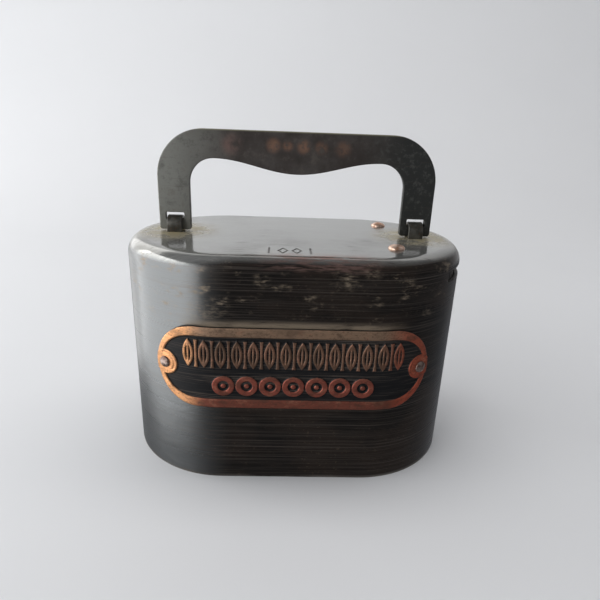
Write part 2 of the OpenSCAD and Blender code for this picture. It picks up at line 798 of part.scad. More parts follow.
// Leaf spring that presses on the bolt's side and holds it where the key leaves it
module bolt_spring() {
  strip = 0.4;
  y_wall = lock_w / 2 - lock_t;
  y_bolt = bolt_w / 2 + bed_gap;
  x0 = lock_x0 + lock_t + 2.6;
  x1 = x0 + 4;
  x2 = lock_x1 - lock_t - 6;
  color([0.7, 0.67, 0.58]) translate([0, 0, bolt_z + 0.2]) linear_extrude(bolt_t - 0.4)
    polygon([[x0, y_wall], [x0, y_wall - strip], [x1, y_wall - strip], [x2, y_bolt],
             [x2 + 2, y_bolt + 0.9], [x2 + 2, y_bolt + 0.9 + strip], [x2, y_bolt + strip * 1.3],
             [x1 + 0.2, y_wall]]);
}

// Post that the hollow key turns on, headed over in the lock cover
module key_post() {
  head_r = key_post_r + 0.6;
  low = door_recess + 0.3;
  color([0.62, 0.6, 0.55]) translate([key_x, key_y, 0]) {
    translate([0, 0, low]) cylinder(r = key_post_r, h = case_top + lock_t - low, $fn = fn_small);
    translate([0, 0, case_top + lock_t]) dome(head_r, plain_head_h);
  }
}

// Ring ward on the case floor, open where the key's bit goes in
module lock_ward() {
  gap_deg = 80;
  ward_r = keyhole_r + 0.9;
  color([0.66, 0.55, 0.3]) translate([key_x, key_y, case_floor]) rotate([0, 0, gap_deg / 2 - 90])
    rotate_extrude(angle = 360 - gap_deg, $fn = fn_small)
      translate([ward_r, 0]) square([0.6, bolt_z - case_floor - 0.2]);
}

// Thin oval plate round the keyhole on the door's outer face
module keyhole_escutcheon() {
  color([0.7, 0.56, 0.32]) difference() {
    translate([key_x, escutcheon_y, door_recess - escutcheon_t]) linear_extrude(escutcheon_t) {
      translate([-escutcheon_r, -escutcheon_half]) square([2 * escutcheon_r, 2 * escutcheon_half]);
      for (end = [-1, 1]) translate([0, end * escutcheon_half]) circle(escutcheon_r, $fn = fn_big);
    }
    keyhole(0.1);
    at_escutcheon_pins() cylinder(r = escutcheon_pin_r + bed_gap, h = door_top, $fn = fn_small);
  }
}

// Two pins that hold the escutcheon to the door
module escutcheon_pins() {
  head = 0.3;
  low = door_recess - escutcheon_t;
  color([0.72, 0.6, 0.36]) at_escutcheon_pins() translate([0, 0, low]) {
    cylinder(r = escutcheon_pin_r, h = door_top - low, $fn = fn_small);
    mirror([0, 0, 1]) dome(small_shank_r, head);
  }
}

body_shell();
name_plate();
name_plate_rivets();
handle();
handle_loop_left();
handle_loop_right();
coin_chute();
chute_rivets();
coin_flap();
flap_pin();
flap_spring();
base_rim();
hinge_plate();
hinge_plate_rivets();
hinge_pin();
base_door();
bolt_keeper();
lock_case();
lock_cover();
lock_bolt();
bolt_guide_post();
bolt_spring();
key_post();
lock_ward();
lock_rivets();
keyhole_escutcheon();
escutcheon_pins();
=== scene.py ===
import json
import math

import bpy
import numpy as np
from mathutils import Matrix, Vector
from mathutils.geometry import tessellate_polygon


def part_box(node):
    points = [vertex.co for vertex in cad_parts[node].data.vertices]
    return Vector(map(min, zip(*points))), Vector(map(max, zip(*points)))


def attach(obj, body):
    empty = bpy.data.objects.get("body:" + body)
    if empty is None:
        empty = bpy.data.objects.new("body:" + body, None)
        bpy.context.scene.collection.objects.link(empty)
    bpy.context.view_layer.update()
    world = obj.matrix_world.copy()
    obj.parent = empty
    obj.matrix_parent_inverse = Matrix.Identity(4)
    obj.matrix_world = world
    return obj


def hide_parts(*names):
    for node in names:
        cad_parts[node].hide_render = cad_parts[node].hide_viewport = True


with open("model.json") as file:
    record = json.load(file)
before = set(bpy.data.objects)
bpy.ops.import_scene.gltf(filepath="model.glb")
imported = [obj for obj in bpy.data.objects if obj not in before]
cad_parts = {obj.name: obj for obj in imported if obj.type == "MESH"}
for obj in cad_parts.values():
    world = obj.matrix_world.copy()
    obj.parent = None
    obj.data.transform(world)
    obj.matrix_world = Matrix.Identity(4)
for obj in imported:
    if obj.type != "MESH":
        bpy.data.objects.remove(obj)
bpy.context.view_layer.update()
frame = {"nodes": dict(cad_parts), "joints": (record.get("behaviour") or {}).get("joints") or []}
nodes = frame["nodes"]
MM = 0.001


# ------------------------------------------------------------------ shell
# The body is one piece of drawn steel sheet, oval in plan, with a rounded shoulder. It was
# blackened and lacquered; drawing has left fine lines round it, and handling has rubbed its top
# grey, scratched it, and left tan dirt round the loops and small stains above the plate.

class Finish:
    """A surface finish made of shader nodes. Sizes are in millimetres, on Object coordinates."""

    def __init__(self, name):
        self.material = bpy.data.materials.new(name)
        self.material.use_nodes = True
        self.tree = self.material.node_tree
        self.shader = self.tree.nodes["Principled BSDF"]

    def add(self, kind, settings, inputs):
        """A new node with its own settings; inputs are plain values or other nodes' outputs."""
        node = self.tree.nodes.new("ShaderNode" + kind)
        for name, value in settings.items():
            setattr(node, name, value)
        for name, value in inputs.items():
            if isinstance(value, bpy.types.NodeSocket):
                self.tree.links.new(value, node.inputs[name])
            else:
                node.inputs[name].default_value = value
        return node

    def place(self, size):
        """Object coordinates counted in steps of size, which is (x, y, z) in millimetres."""
        coordinates = self.add("TexCoord", {}, {}).outputs["Object"]
        scale = [1 / (MM * step) for step in size]
        return self.add("Mapping", {}, {"Vector": coordinates, "Scale": scale}).outputs["Vector"]

    def along(self, axis):
        """Place along one axis, in millimetres."""
        return self.add("SeparateXYZ", {}, {"Vector": self.place((1, 1, 1))}).outputs[axis]

    def noise(self, size, detail, rough):
        """Cloudy noise from 0 to 1 with blotches of about this size; detail counts its finer layers
        and rough is how strong they are."""
        sockets = {"Vector": self.place(size), "Scale": 1.0, "Detail": detail, "Roughness": rough}
        return self.add("TexNoise", {}, sockets).outputs[0]

    def step(self, value, low, high):
        """Smooth step: 0 below low and 1 above high, or falling where low is the larger."""
        ends = {"Value": value, "From Min": low, "From Max": high}
        return self.add("MapRange", {"interpolation_type": "SMOOTHSTEP"}, ends).outputs["Result"]

    def math(self, operation, *values):
        """One sum, given by its name, on plain values or other nodes' outputs."""
        return self.add("Math", {"operation": operation}, dict(enumerate(values))).outputs[0]

    def times(self, first, *others):
        """Product of several shares: it is 1 only where all of them are 1."""
        for other in others:
            first = self.math("MULTIPLY", first, other)
        return first

    def most(self, first, *others):
        """Largest of several shares."""
        for other in others:
            first = self.math("MAXIMUM", first, other)
        return first

    def near(self, point, inner, outer):
        """1 within inner millimetres of a point and 0 beyond outer."""
        gap = self.add("VectorMath", {"operation": "DISTANCE"}, {0: self.place((1, 1, 1)), 1: point})
        return self.step(gap.outputs["Value"], outer, inner)

    def attribute(self, name):
        """A value that the mesh itself carries at its points."""
        return self.add("Attribute", {"attribute_name": name}, {}).outputs["Fac"]

    def over(self, colour, share, top):
        """Lays the colour top over colour as far as share, which is 0 for none and 1 for all."""
        node = self.add("Mix", {"data_type": "RGBA"}, {0: share})
        colour_inputs = [socket for socket in node.inputs if socket.type == "RGBA"]
        for socket, value in zip(colour_inputs, (colour, top)):
            if isinstance(value, bpy.types.NodeSocket):
                self.tree.links.new(value, socket)
            else:
                socket.default_value = (*value, 1.0)
        return [socket for socket in node.outputs if socket.type == "RGBA"][0]

    def bump(self, height, depth, under=None):
        """Surface normal raised by depth millimetres where height is 1, on top of another bump."""
        sockets = {"Height": height, "Distance": depth * MM, "Strength": 1.0}
        if under is not None:
            sockets["Normal"] = under
        return self.add("Bump", {}, sockets).outputs["Normal"]

    def surface(self, **sockets):
        """Sets the shader's own sockets, named with underscores for spaces."""
        for name, value in sockets.items():
            socket = self.shader.inputs[name.replace("_", " ")]
            if isinstance(value, bpy.types.NodeSocket):
                self.tree.links.new(value, socket)
            elif isinstance(value, tuple):
                socket.default_value = (*value, 1.0)
            else:
                socket.default_value = value


def dress(piece, finish):
    """Gives a piece one finish all over."""
    piece.data.materials.clear()
    piece.data.materials.append(finish.material)


body_low, body_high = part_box("body_shell")
end_r = (body_high.y - body_low.y) / 2
run = body_high.x - end_r
top_z = body_high.z
loop_x = sum(corner.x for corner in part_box("handle_loop_right")) / 2
wall_mm = end_r / MM
front_mm = -wall_mm
top_mm = top_z / MM
plate_top_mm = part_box("name_plate")[1].z / MM


def stained(coat, across, depth, height):
    """Share of the shell that is tan: broken stains above the plate, with larger ones at a few
    spots of the front, given as (x, z, size), and a narrow tan band just above the plate's upper edge."""
    upper = coat.times(coat.step(height, 49, 57), coat.step(height, top_mm, top_mm - 4))
    broken = coat.step(coat.noise((2.6, 2.6, 0.9), 5, 0.7), 0.43, 0.66)
    stains = coat.step(coat.noise((6.5, 6.5, 3.5), 4, 0.6), 0.52, 0.68)
    spots = ((14, top_mm - 5.6, 3.2), (20.5, top_mm - 1.8, 3.4), (-9.5, top_mm - 6, 2.6),
             (4, 49.6, 3.2), (-24, 51.5, 7))
    for x, z, size in spots:
        stains = coat.most(stains, coat.near((x, front_mm + 0.6, z), 0.1 * size, 1.3 * size))
    stains = coat.times(stains, coat.times(upper, broken))
    ledge = coat.times(coat.step(height, plate_top_mm - 1, plate_top_mm),
                       coat.step(height, plate_top_mm + 2.6, plate_top_mm + 0.5),
                       coat.step(coat.math("ABSOLUTE", across), 34, 22),
                       coat.step(depth, 0, front_mm + 5),
                       coat.step(coat.noise((11, 11, 1.6), 5, 0.7), 0.24, 0.52))
    return coat.most(stains, ledge)


def unlacquered_and_shaded(coat, across, depth, height):
    """Share of the shell that is its inside: within the walls below the shoulder, and under the
    top; the finish colours it dark, partly as painted shade that makes the slot read as a hole.
    radial, the distance from the middle line of the oval, is the root of
    (|x| - run) squared + y squared."""
    past = coat.most(coat.math("SUBTRACT", coat.math("ABSOLUTE", across), run / MM), 0.0)
    radial = coat.math("SQRT", coat.math("ADD", coat.times(past, past), coat.times(depth, depth)))
    walls = coat.times(coat.step(radial, wall_mm - 0.08, wall_mm - 0.3),
                       coat.step(height, top_mm - 4.9, top_mm - 5.1))
    under = coat.times(coat.step(radial, wall_mm - 4.8, wall_mm - 5.4),
                       coat.step(height, top_mm - 0.3, top_mm - 0.7))
    return coat.most(walls, under)


def blackened_shell():
    """Finish of the drawn shell: blackened steel, darker and browner on the walls, rubbed on top."""
    coat = Finish("blackened_shell")
    across = coat.along("X")
    depth = coat.along("Y")
    height = coat.along("Z")
    lines = coat.noise((170, 170, 0.42), 4, 0.66)
    fine_lines = coat.noise((34, 34, 0.15), 4, 0.65)
    brushed = coat.noise((26, 0.3, 60), 4, 0.6)
    clouds = coat.noise((24, 24, 13), 5, 0.6)
    specks = coat.noise((1.1, 1.1, 0.8), 4, 0.65)

    # Walls: black and brown-black clouds, a painted sheen of grey towards the left end, with drawn
    # lines that show most on the front
    black = (0.022, 0.019, 0.017)
    brown_black = (0.045, 0.033, 0.026)
    left_sheen_grey = (0.15, 0.155, 0.155)
    line_brown = (0.125, 0.105, 0.09)
    walls = coat.over(black, coat.step(clouds, 0.4, 0.62), brown_black)
    # Painted sheen: grey over the left end of the walls
    left = coat.times(coat.step(across, -17, -32), coat.step(lines, -0.5, 0.5))
    walls = coat.over(walls, left, left_sheen_grey)
    front = coat.times(coat.step(depth, front_mm + 12, front_mm + 3), coat.step(across, -36, -22))
    drawn = coat.most(coat.step(lines, 0.5, 0.7), coat.step(fine_lines, 0.52, 0.7))
    drawn = coat.times(drawn, coat.math("MULTIPLY_ADD", front, 0.75, 0.25))
    walls = coat.over(walls, drawn, line_brown)

    # Top: rubbed grey and brushed along its length, with dark scratches; at the left end the grey
    # reaches further down the shoulder as a painted sheen
    rubbed_grey = (0.36, 0.358, 0.34)
    pale_grey = (0.46, 0.455, 0.43)
    dull_grey = (0.29, 0.285, 0.265)
    scratch_brown = (0.09, 0.08, 0.07)
    plain = coat.over(rubbed_grey, coat.step(brushed, 0.4, 0.7), pale_grey)
    plain = coat.over(plain, coat.step(clouds, 0.48, 0.7), dull_grey)
    scratches = coat.times(coat.noise((6.5, 0.55, 60), 2, 0.5), coat.step(clouds, 0.3, 0.6))
    plain = coat.over(plain, coat.step(scratches, 0.61, 0.67), scratch_brown)
    # Painted sheen: the grey of the top reaches lower at the left end
    end = coat.step(across, -14, -34)
    top = coat.step(coat.math("MULTIPLY_ADD", end, 1.4, height), top_mm - 1.9, top_mm - 0.1)
    colour = coat.over(walls, top, plain)

    # Tan stains, brown pits, and yellow-brown dirt round the two loops
    tan = (0.27, 0.21, 0.145)
    pit_brown = (0.2, 0.15, 0.11)
    dirt_yellow = (0.36, 0.29, 0.14)
    stains = stained(coat, across, depth, height)
    colour = coat.over(colour, coat.times(stains, 0.85), tan)
    pits = coat.times(coat.step(specks, 0.6, 0.7), coat.step(clouds, 0.38, 0.6))
    colour = coat.over(colour, coat.times(pits, 0.4), pit_brown)
    rings = [coat.near((side * loop_x / MM, 0, top_mm), 5.5, 17) for side in (-1, 1)]
    patches = coat.step(coat.noise((4.5, 4.5, 4.5), 5, 0.65), 0.2, 0.66)
    dirt = coat.times(coat.math("ADD", *rings), patches)
    colour = coat.over(colour, coat.times(dirt, 0.85), dirt_yellow)

    # Rubbed copper-coloured streak along the front shoulder, near the middle
    rubbed_copper = (0.3, 0.185, 0.155)
    shoulder = coat.times(coat.step(height, top_mm - 4.0, top_mm - 2.2),
                          coat.step(depth, front_mm + 8.4, front_mm + 4.8))
    middle = coat.times(coat.step(across, -15, 2), coat.step(across, 28, 12))
    streaks = coat.step(coat.noise((5, 1.4, 0.7), 5, 0.65), 0.38, 0.6)
    rubbed = coat.times(coat.times(shoulder, middle), streaks)
    colour = coat.over(colour, coat.times(rubbed, 0.85), rubbed_copper)

    # Black dirt in the punch marks, which lie below the top in one row behind the shoulder
    marks_middle = (-2, front_mm + 9.4, top_mm)
    mark_black = (0.09, 0.078, 0.068)
    sunk = coat.times(coat.near(marks_middle, 11, 12), coat.step(height, top_mm - 0.03, top_mm - 0.1),
                      coat.step(depth, front_mm + 5.2, front_mm + 5.6))
    colour = coat.over(colour, coat.times(sunk, 0.8), mark_black)

    # Bare edge at the foot, where the sheet was trimmed
    trimmed_grey = (0.2, 0.18, 0.155)
    foot = coat.times(coat.step(height, 1.1, 0.3), coat.step(clouds, 0.3, 0.6))
    colour = coat.over(colour, foot, trimmed_grey)

    # Unlacquered inside, seen through the slot and past the door; its dark colour on the slot's
    # faces is also painted shade, so that the slot reads as a dark hole
    raw_shade_black = (0.03, 0.026, 0.023)
    raw_shade_brown = (0.06, 0.046, 0.034)
    inner = unlacquered_and_shaded(coat, across, depth, height)
    raw_and_shade = coat.over(raw_shade_black, coat.step(clouds, 0.4, 0.65), raw_shade_brown)
    colour = coat.over(colour, inner, raw_and_shade)

    # The rubbed top is smoother than the walls; dirt and the inside are rougher and less metallic
    covered = coat.most(stains, dirt, sunk, inner)
    rough = coat.math("MULTIPLY_ADD", lines, 0.06, 0.25)
    rough = coat.math("SUBTRACT", rough, coat.times(top, 0.15))
    rough = coat.math("MULTIPLY_ADD", covered, 0.25, rough)
    metal = coat.math("SUBTRACT", 0.8, coat.times(covered, 0.65))
    normal = coat.bump(clouds, 0.14)
    normal = coat.bump(coat.math("ADD", lines, brushed), 0.003, normal)
    normal = coat.bump(specks, 0.01, normal)
    coat.surface(Base_Color=colour, Metallic=metal, Roughness=rough, Normal=normal, IOR=1.5)
    return coat


dress(nodes["body_shell"], blackened_shell())


# ------------------------------------------------------------------ name plate
# The plate is thin embossed copper sheet, wrapped round the front and held by one rivet at each
# end. Its raised rim, bosses and ornament are rubbed to the copper; its ground is black lacquer.
# Two rows of moulding stand on it: leaves with darts between them above, and coins below.

def mesh_piece(name, points, faces, finish, body, slot, smooth=True):
    """A new piece from points in metres and lists of corner numbers; it rides on a body."""
    mesh = bpy.data.meshes.new(name)
    mesh.from_pydata(points, [], faces)
    mesh.polygons.foreach_set("use_smooth", np.broadcast_to(smooth, len(mesh.polygons)))
    mesh.materials.append(finish.material)
    piece = bpy.data.objects.new(name, mesh)
    bpy.context.scene.collection.objects.link(piece)
    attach(piece, body)
    return piece


def grid_faces(rows, columns):
    """Corner numbers of the squares of a grid whose points are counted row by row."""
    row, column = np.meshgrid(np.arange(rows - 1), np.arange(columns - 1), indexing="ij")
    corner = (row * columns + column).ravel()
    return np.stack([corner, corner + 1, corner + columns + 1, corner + columns], 1)


def on_wall(along, height, out):
    """Point on the wall: straight out to |along| = run, then round the end by angle = arc / radius."""
    angle = np.sign(along) * np.maximum(np.abs(along) - run, 0) / end_r
    x = np.clip(along, -run, run) + (end_r + out) * np.sin(angle)
    y = -(end_r + out) * np.cos(angle)
    return np.stack(np.broadcast_arrays(x, y, height), -1)


def ease(value, low, high):
    """Smooth step from 0 at low to 1 at high."""
    share = np.clip((value - low) / (high - low), 0, 1)
    return share * share * (3 - 2 * share)


plate_low, plate_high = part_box("name_plate")
plate_z = (plate_low.z + plate_high.z) / 2
plate_r = (plate_high.z - plate_low.z) / 2
bed = 0.05 * MM
sheet_t = 0.5 * MM
rise = 0.6 * MM
face_out = bed + sheet_t + rise
# The finer pieces stay this much inside the box of the plate as it was modelled
slack = 0.02 * MM
plate_half = run + end_r * math.asin((plate_high.x - run) / (end_r + face_out))
plate_end = plate_half - plate_r
boss_at = plate_half - 2.9 * MM
boss_r = 4.1 * MM


def leaf_row(s, z):
    """Raised leaves and darts, with z counted from the plate's middle. A leaf is the outline and
    mid rib of a lens: its half width falls as 1 - (height / half height) to the power 2.2. A dart
    is a thin stem that widens to both ends."""
    leaves = 14
    pitch = 4.6 * MM
    half_w = 1.66 * MM
    half_h = 4.4 * MM
    middle = 4.4 * MM
    place = s / pitch + (leaves - 1) / 2
    leaf_s = (place - np.clip(np.round(place), 0, leaves - 1)) * pitch
    dart_s = (place - 0.5 - np.clip(np.round(place - 0.5), 0, leaves - 2)) * pitch
    tall = np.abs(z - middle) / half_h
    inside = half_w * (1 - tall ** 2.2) - np.abs(leaf_s)
    outline = ease(inside, -0.05 * MM, 0.16 * MM) * (1 - ease(inside, 0.8 * MM, 1.0 * MM))
    rib = ease(0.33 * MM - np.abs(leaf_s), -0.1 * MM, 0.12 * MM) * (tall < 0.7)
    stem_half = (0.38 + 0.28 * np.clip(tall, 0, 1) ** 5) * MM
    dart = ease(stem_half - np.abs(dart_s), -0.1 * MM, 0.12 * MM) * ease(1 - tall, 0, 0.06)
    return np.maximum(np.maximum(outline, rib), dart)


def coin_row(s, z):
    """Raised coins side by side: a broad ring and a small round boss inside each, on one line."""
    coins = 7
    pitch = 6.7 * MM
    middle = -5.4 * MM
    place = s / pitch + (coins - 1) / 2
    coin_s = (place - np.clip(np.round(place), 0, coins - 1)) * pitch
    radius = np.hypot(coin_s, z - middle)
    ring = ease(radius, 1.45 * MM, 1.75 * MM) * (1 - ease(radius, 3.1 * MM, 3.32 * MM))
    boss = 1 - ease(radius, 0.55 * MM, 0.95 * MM)
    return np.maximum(ring, boss)


def plate_rise(s, z):
    """Height of the embossing from 0 to 1: the rim follows the edge, 3 mm wide along the top and
    bottom and 1.9 mm at the ends. A round boss carries each rivet, with a crease near its edge that
    fades out towards the rim and at its foot."""
    end_w = 1.9 * MM
    side_w = 3.0 * MM
    crease_r = 3.1 * MM
    past = np.maximum(np.abs(s) - plate_end, 0)
    edge = plate_r - np.hypot(past, z)
    slope = np.abs(z) / np.maximum(np.hypot(past, z), 1e-9)
    width = end_w + (side_w - end_w) * np.where(past > 0, slope ** 3, 1.0)
    rim = ease(edge, -0.6 * MM, 0.45 * MM) * (1 - ease(edge, width - 0.5 * MM, width + 0.1 * MM))
    crown = 0.1 * np.clip(edge / width, 0, 1)
    radius = np.hypot(np.abs(s) - boss_at, z)
    boss = 1 - ease(radius, boss_r - 0.45 * MM, boss_r)
    crease = (1 - ease(np.abs(radius - crease_r), 0.1 * MM, 0.5 * MM)) * ease(edge, 0.9 * MM, 1.7 * MM)
    boss = boss * (1 - 0.35 * crease * (z > -2.2 * MM))
    ornament = 0.85 * np.maximum(leaf_row(s, z), coin_row(s, z))
    return np.maximum(np.maximum(rim * (0.9 + crown), boss), ornament)


def name_plate():
    """The plate's face is a grid: rows at z = r sin(v 90 deg), each as long as the plate is there, and
    the embossing lifts it. Its back has the same outline on the bed: upright strips across the
    straight band, and level strips that close each round end and finish in a triangle."""
    columns, rows = 450, 161
    ground_out = bed + sheet_t - 2 * slack
    u = np.linspace(-1, 1, columns)
    v = np.linspace(-1, 1, rows)[:, None] * math.pi / 2
    z = plate_r * np.sin(v) + 0 * u
    s = u * (plate_end + plate_r * np.cos(v))
    lifted = plate_rise(s, z)
    face = on_wall(s, z + plate_z, ground_out + (rise - slack) * lifted)
    front = grid_faces(rows, columns)
    # The outline, counter-clockwise from the lower left corner, repeated on the bed for the back
    number = np.arange(rows * columns).reshape(rows, columns)
    loop = np.concatenate([number[0, :], number[1:, -1], number[-1, -2::-1], number[-2:0:-1, 0]])
    flat_s, flat_z = s.ravel()[loop], z.ravel()[loop]
    back = on_wall(flat_s, flat_z + plate_z, bed)
    # The sheet's edge joins the two outlines
    start = rows * columns
    around = np.arange(len(loop))
    following = np.roll(around, -1)
    side = np.stack([loop[around], start + around, start + following, loop[following]], 1)
    # The back's own strips, from the point numbers along its four sides
    bottom = start + np.arange(columns)
    right = start + columns - 1 + np.arange(rows)
    top = start + columns + rows - 2 + np.arange(columns)
    left = start + (2 * columns + rows - 3 + np.arange(rows)) % len(loop)
    band = np.stack([bottom[:-1], top[::-1][:-1], top[::-1][1:], bottom[1:]], 1)
    half = rows // 2
    low, high = np.arange(half), rows - 1 - np.arange(half)
    ends = []
    for line in (right, left):
        ends.append(np.stack([line[low], line[high], line[high - 1], line[low + 1]], 1))
    faces = [front, side, band, ends[0][:-1], ends[1][:-1]]
    tips = [[int(line[half - 1]), int(line[half + 1]), int(line[half])] for line in (right, left)]
    corners = [list(map(int, face)) for block in faces for face in block] + tips
    return np.concatenate([face.reshape(-1, 3), back]), corners, lifted


def coppered_sheet():
    """Finish of the plate: black ground with rubbed lines, copper where the attribute raised is 1.
    The copper is redder in the lower half and along the lower rim as a painted red reflection, and
    redder to the right; it is brighter at the left end and paler along the upper rim as painted
    reflections; worn patches, lines and specks of tarnish lie over it."""
    coat = Finish("coppered_plate")
    raised = coat.attribute("raised")
    across = coat.along("X")
    height = coat.along("Z")
    lines = coat.noise((22, 22, 0.28), 5, 0.65)
    clouds = coat.noise((9, 9, 6), 4, 0.6)
    specks = coat.noise((0.7, 0.7, 0.5), 3, 0.6)
    worn = coat.noise((3.6, 3.6, 2.2), 5, 0.66)

    lacquer_black = (0.007, 0.007, 0.008)
    lacquer_brown = (0.075, 0.06, 0.05)
    ground = coat.over(lacquer_black, coat.step(lines, 0.5, 0.66), lacquer_brown)

    old_copper = (0.27, 0.14, 0.09)
    brown_copper = (0.16, 0.095, 0.062)
    low_reflection_red = (0.34, 0.09, 0.06)
    rim_reflection_red = (0.26, 0.08, 0.052)
    rim_reflection_pale = (0.33, 0.215, 0.14)
    left_reflection_orange = (0.8, 0.4, 0.18)
    right_red = (0.58, 0.11, 0.055)
    middle_mm = plate_z / MM
    bottom_mm = plate_low.z / MM
    copper = coat.over(old_copper, coat.step(clouds, 0.35, 0.65), brown_copper)
    # Painted reflections: red on the lower half and lower rim, pale on the upper rim, bright at the left
    # end
    copper = coat.over(copper, coat.step(height, middle_mm - 0.7, middle_mm - 3.7), low_reflection_red)
    copper = coat.over(copper, coat.step(height, bottom_mm + 4.1, bottom_mm + 3.1), rim_reflection_red)
    copper = coat.over(copper, coat.step(height, plate_top_mm - 3.8, plate_top_mm - 2.3), rim_reflection_pale)
    copper = coat.over(copper, coat.step(across, -25, -33), left_reflection_orange)
    copper = coat.over(copper, coat.times(coat.step(across, 24, 34), 0.65), right_red)

    line_brown = (0.12, 0.07, 0.045)
    worn_dark = (0.09, 0.055, 0.038)
    worn_bright = (0.55, 0.26, 0.16)
    tarnish_brown = (0.1, 0.06, 0.04)
    copper = coat.over(copper, coat.step(lines, 0.62, 0.8), line_brown)
    copper = coat.over(copper, coat.times(coat.step(worn, 0.5, 0.66), 0.5), worn_dark)
    copper = coat.over(copper, coat.times(coat.step(worn, 0.47, 0.34), 0.35), worn_bright)
    tarnish = coat.most(coat.step(specks, 0.5, 0.68), coat.step(clouds, 0.52, 0.7))
    copper = coat.over(copper, coat.times(tarnish, 0.5), tarnish_brown)

    bare = coat.step(coat.math("SUBTRACT", raised, coat.times(lines, 0.25)), 0.26, 0.56)
    colour = coat.over(ground, bare, copper)
    rough = coat.step(lines, -0.55, 1.4)
    gloss = coat.times(coat.math("ADD", bare, 0.5), 0.4)
    normal = coat.bump(lines, 0.02)
    normal = coat.bump(specks, 0.02, normal)
    coat.surface(Base_Color=colour, Metallic=coat.times(bare, 0.75), Roughness=rough, Normal=normal,
                 IOR=1.5, Specular_IOR_Level=gloss)
    return coat


points, corners, lifted = name_plate()
plate = mesh_piece("wrapped_name_plate", points, corners, coppered_sheet(), "box", "copper_plate")
raised = plate.data.attributes.new("raised", "FLOAT", "POINT")
behind = len(points) - lifted.size
raised.data.foreach_set("value", np.concatenate([lifted.ravel(), np.zeros(behind)]))
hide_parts("name_plate")


# ------------------------------------------------------------------ rivets
# Turned and hammered rivets. The plate's are steel, with small pale domes; the two in the top
# are copper, hold the coin chute, and their domes are lopsided from the hammer.

def turned(profile, sides):
    """Surface of revolution about Z: each (radius, height) of the profile is carried round the
    axis. The first and last points lie on the axis and close the ends."""
    radius, height = np.array(profile).T
    angle = np.linspace(0, 2 * math.pi, sides, endpoint=False)
    ring_r, ring_z = radius[1:-1, None], height[1:-1, None]
    rings = np.stack([ring_r * np.cos(angle), ring_r * np.sin(angle), ring_z + 0 * angle], -1)
    points = np.concatenate([rings.reshape(-1, 3), [[0, 0, height[0]], [0, 0, height[-1]]]])
    count = len(radius) - 2
    number = np.arange(count * sides).reshape(count, sides)
    turn = np.roll(number, -1, axis=1)
    walls = np.stack([number[:-1], turn[:-1], turn[1:], number[1:]], -1).reshape(-1, 4)
    bottom = [[count * sides, int(b), int(a)] for a, b in zip(number[0], turn[0])]
    top = [[count * sides + 1, int(a), int(b)] for a, b in zip(number[-1], turn[-1])]
    return points, [list(map(int, wall)) for wall in walls] + bottom + top


def dome_profile(head_r, head_h, shank_r, length, tail_r, tail_h):
    """A rivet's half section from its hidden tail up to the dome, which is a quarter of an oval
    on a low upright lip."""
    lip = 0.12 * head_h
    quarter = np.linspace(0, math.pi / 2, 9)[1:-1]
    dome = [(head_r * math.cos(a) ** 0.9, lip + (head_h - lip) * math.sin(a)) for a in quarter]
    tail = [(0, -length - tail_h), (tail_r * 0.8, -length - tail_h), (tail_r, -length - 0.5 * tail_h)]
    shank = [(tail_r, -length), (shank_r, -length), (shank_r, 0.0)]
    return tail + shank + [(head_r, 0.0), (head_r, lip)] + dome + [(0, head_h)]


def hammered(points, head_h, seed, amount):
    """Draws a dome's points in and down by a slow wave round the axis, more to the top; seed turns
    the wave, so that no two domes are alike."""
    angle = np.arctan2(points[:, 1], points[:, 0])
    share = np.clip(points[:, 2] / head_h, 0, 1)
    wave = 1 - amount * share * (0.6 + 0.4 * np.sin(2 * angle + seed) + 0.3 * np.cos(3 * angle + 2 * seed))
    return points * np.stack([wave, wave, 1 - 0.4 * (1 - wave)], -1)


def joined(parts):
    """Several (points, faces) as one piece, with the corner numbers counted on."""
    points, faces, start = [], [], 0
    for part_points, part_faces in parts:
        points.append(part_points)
        faces += [[start + corner for corner in face] for face in part_faces]
        start += len(part_points)
    return np.concatenate(points), faces


def dulled_metal(name, dark, pale, blotch, rough, metal, rust=0.0):
    """Plain metal that has dulled: two tones in blotches that many millimetres across, finely
    pitted, with rust in the pits as far as rust, from 0 to 1."""
    coat = Finish(name)
    pitting = 0.01
    cloud = coat.noise((blotch, blotch, blotch), 5, 0.6)
    fine = coat.noise((0.5, 0.5, 0.5), 4, 0.6)
    colour = coat.over(dark, coat.step(cloud, 0.35, 0.65), pale)
    if rust:
        rust_brown = (0.17, 0.075, 0.03)
        spots = coat.times(coat.step(fine, 0.5, 0.66), coat.step(cloud, 0.6, 0.36))
        colour = coat.over(colour, coat.times(spots, rust), rust_brown)
    roughness = coat.math("MULTIPLY_ADD", cloud, 0.25, rough - 0.12)
    normal = coat.bump(fine, pitting, coat.bump(cloud, 4 * pitting))
    coat.surface(Base_Color=colour, Metallic=metal, Roughness=roughness, Normal=normal)
    return coat


rivet_steel = dulled_metal("dulled_rivet_steel", (0.14, 0.09, 0.075), (0.4, 0.31, 0.27),
                           blotch=1.4, rough=0.42, metal=0.85, rust=0.5)
rivet_copper = dulled_metal("rubbed_rivet_copper", (0.5, 0.27, 0.17), (0.95, 0.7, 0.56),
                            blotch=1.8, rough=0.34, metal=0.85)

plate_head_r = 1.75 * MM
plate_head_h = 0.8 * MM
plate_shank_r = 0.8 * MM
plate_grip = 2.2 * MM
plate_tail_r = 1.5 * MM
plate_tail_h = 0.6 * MM
plate_profile = dome_profile(plate_head_r, plate_head_h, plate_shank_r, plate_grip, plate_tail_r,
                             plate_tail_h)
parts = []
for side in (-1, 1):
    points, faces = turned(plate_profile, 32)
    points = hammered(points, plate_head_h, side, 0.12)
    turn = side * (boss_at - run) / end_r
    outwards = Vector((math.sin(turn), -math.cos(turn), 0))
    upright = Matrix((Vector((0, 0, 1)).cross(outwards), Vector((0, 0, 1)), outwards))
    seat = on_wall(np.array(side * boss_at), plate_z, face_out - slack)
    parts.append((points @ np.array(upright) + seat, faces))
plate_rivets = mesh_piece("plate_rivets", *joined(parts), rivet_steel, "box", "bright_steel")
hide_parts("name_plate_rivets")

